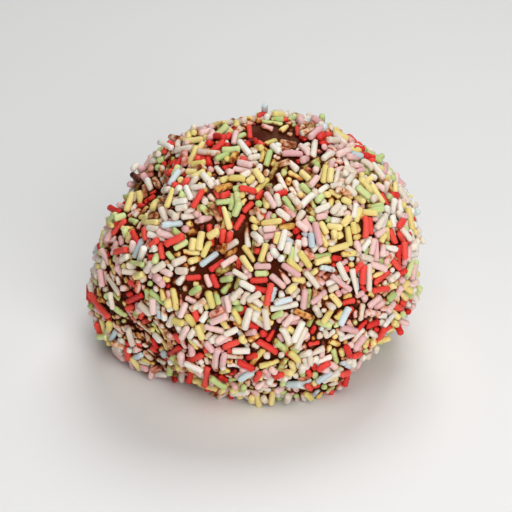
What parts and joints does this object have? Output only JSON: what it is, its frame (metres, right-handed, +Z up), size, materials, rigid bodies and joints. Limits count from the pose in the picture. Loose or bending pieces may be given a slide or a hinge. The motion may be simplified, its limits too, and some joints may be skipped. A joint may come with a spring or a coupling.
{
  "type": "rum ball",
  "caption": "Rum ball: a lumpy dark chocolate truffle, slumped onto a flat base and rolled in pastel sugar strands.",
  "frame": {"origin": "middle of the flat base that the ball rests on", "axes": "+Z up, +X to the right, -Y towards the viewer of the picture"},
  "size_m": [0.0632, 0.0622, 0.0478],
  "materials": {
    "sugar_strand_coat": null
  },
  "bodies": {
    "root": {"rum_ball": "sugar_strand_coat"}
  },
  "joints": []
}
